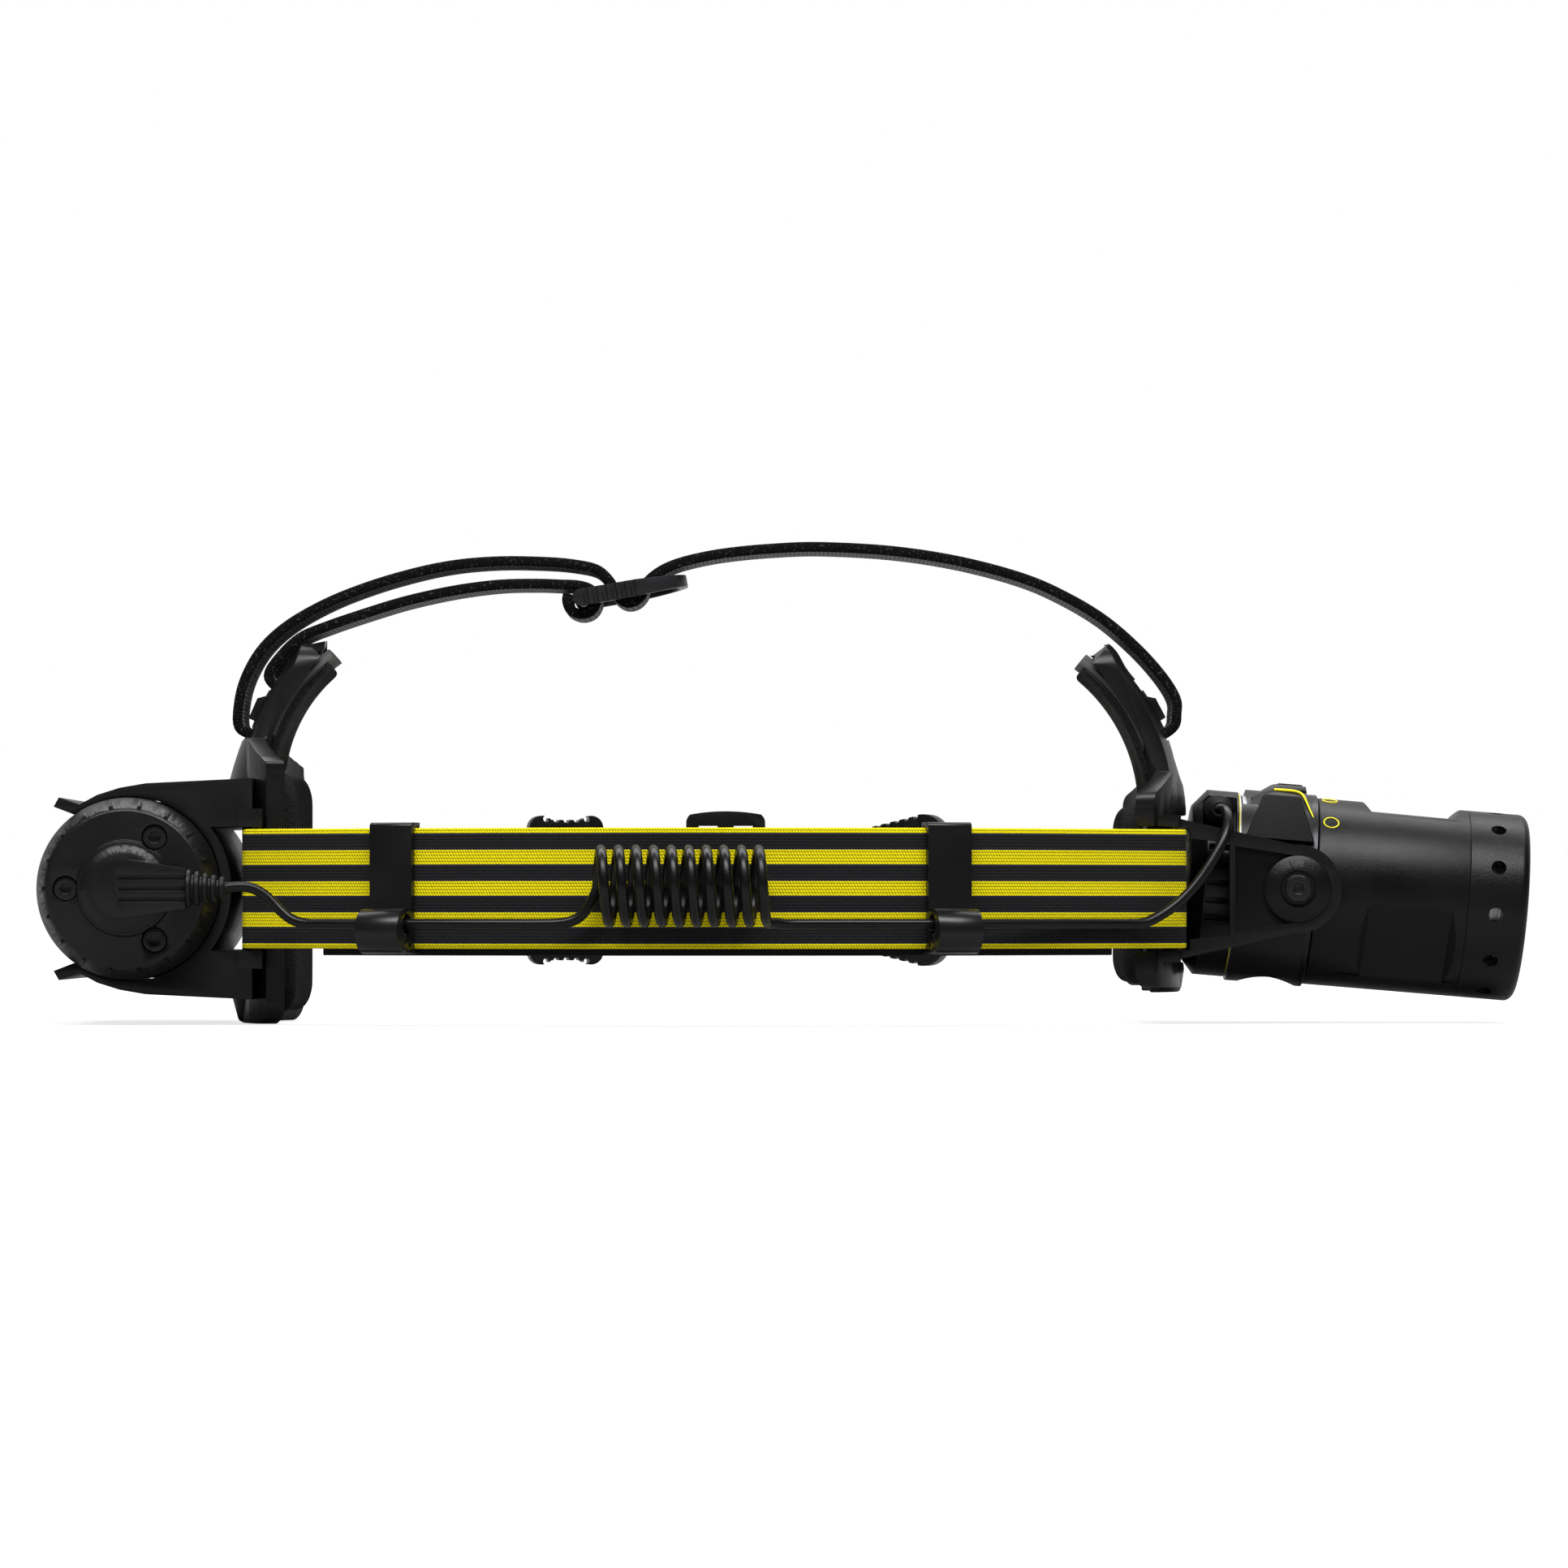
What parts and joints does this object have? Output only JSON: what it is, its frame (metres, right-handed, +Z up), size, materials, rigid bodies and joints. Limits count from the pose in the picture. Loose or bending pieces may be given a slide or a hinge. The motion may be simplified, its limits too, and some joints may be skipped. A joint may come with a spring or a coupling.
{
  "type": "miner's cap lamp",
  "caption": "Headband cap lamp: a focusing lamp head tilts on a forehead yoke, a drum battery sits in a clip behind, and a coiled lead runs along the striped band.",
  "frame": {"origin": "centre of the head opening, level with the middle of the headband", "axes": "+X forward to the lamp, +Z up, the lead and plug on the -Y side"},
  "size_m": [0.4031, 0.1801, 0.1302],
  "materials": {
    "black_plastic": "satin moulded",
    "soft_rubber": "matte",
    "seal_rubber": "matte",
    "lead_jacket": "satin",
    "foam": "closed-cell foam",
    "grey_plastic": "matte",
    "striped_band": "woven elastic, yellow and charcoal stripes",
    "band_lining": "smooth",
    "strap": "woven, grey ribbed underside",
    "dark_metal": "dark anodised",
    "housing_metal": "machined",
    "screw_steel": "satin",
    "cell_wrap": "plastic wrapped",
    "board": "solder mask",
    "yellow_accent": "satin",
    "emitter": "phosphor",
    "clear_glass": "polished",
    "clear_lens": "polished"
  },
  "bodies": {
    "headgear": {"rear_bracket": "black_plastic", "battery_cradle": "black_plastic", "cradle_screws": "screw_steel", "rear_pad_lower": "foam", "rear_pad_upper": "foam", "rear_pad_plate": "grey_plastic", "front_bracket": "black_plastic", "front_pad_lower": "foam", "front_pad_upper": "foam", "front_pad_plate": "grey_plastic", "headband_near": "striped_band", "band_lining": "band_lining", "headband_far": "striped_band", "far_slider": "black_plastic", "far_adjuster": "black_plastic", "band_keeper": "black_plastic", "cable_clip_rear": "soft_rubber", "cable_clip_front": "soft_rubber", "top_strap": "strap", "top_strap_slider": "black_plastic", "cable_coiled": "lead_jacket", "cable_battery_end": "lead_jacket", "cable_lamp_end": "lead_jacket"},
    "battery": {"drum_shell": "black_plastic", "near_end_cap": "black_plastic", "far_end_cap": "black_plastic", "cap_screws": "screw_steel", "battery_cells": "cell_wrap", "cell_holders": "black_plastic", "battery_board": "board", "drum_seals": "seal_rubber", "cable_plug": "black_plastic", "strain_relief": "soft_rubber"},
    "lamp": {"lamp_housing": "housing_metal", "pivot_collar": "black_plastic", "pivot_screws": "screw_steel", "pivot_washers": "black_plastic", "pivot_spacers": "soft_rubber", "rear_cap": "black_plastic", "rear_cap_seal": "seal_rubber", "accent_ring": "yellow_accent", "cable_grommet": "soft_rubber", "driver_board": "board", "led_board": "housing_metal", "led_emitter": "emitter", "light_line": "yellow_accent", "button_switch": "screw_steel"},
    "power_button": {"power_button": "soft_rubber"},
    "focus_ring": {"focus_sleeve": "dark_metal", "front_bezel": "dark_metal", "front_glass": "clear_glass", "glass_seal": "soft_rubber"},
    "lens_slide": {"lens_carriage": "black_plastic", "focus_lens": "clear_lens", "drive_pins": "screw_steel"}
  },
  "joints": [
    {"name": "lamp_tilt", "type": "hinge", "parent": "headgear", "child": "lamp", "pos_m": [0.1585, 0, 0], "axis": [0, 1, 0], "range_deg": [-20, 55], "deforming": ["cable_lamp_end"]},
    {"name": "focus_turn", "type": "hinge", "parent": "lamp", "child": "focus_ring", "pos_m": [0.1585, 0, 0], "axis": [0.9966, 0, -0.0828], "range_deg": [0, 64]},
    {"name": "lens_travel", "type": "slide", "parent": "lamp", "child": "lens_slide", "axis": [0.9966, 0, -0.0828], "range_m": [0, 0.005]},
    {"name": "power_press", "type": "slide", "parent": "lamp", "child": "power_button", "axis": [-0.0828, 0, -0.9966], "range_m": [0, 0.0008], "stiffness_N_per_m": 800, "springref_m": -0.001},
    {"name": "battery_turn", "type": "hinge", "parent": "headgear", "child": "battery", "pos_m": [-0.1555, 0, 0], "axis": [0, 1, 0], "range_deg": [-15, 15], "deforming": ["cable_battery_end"]}
  ],
  "couplings": [
    {"joint": "lens_travel", "follows": "focus_turn", "m_per_rad": 0.004476}
  ]
}
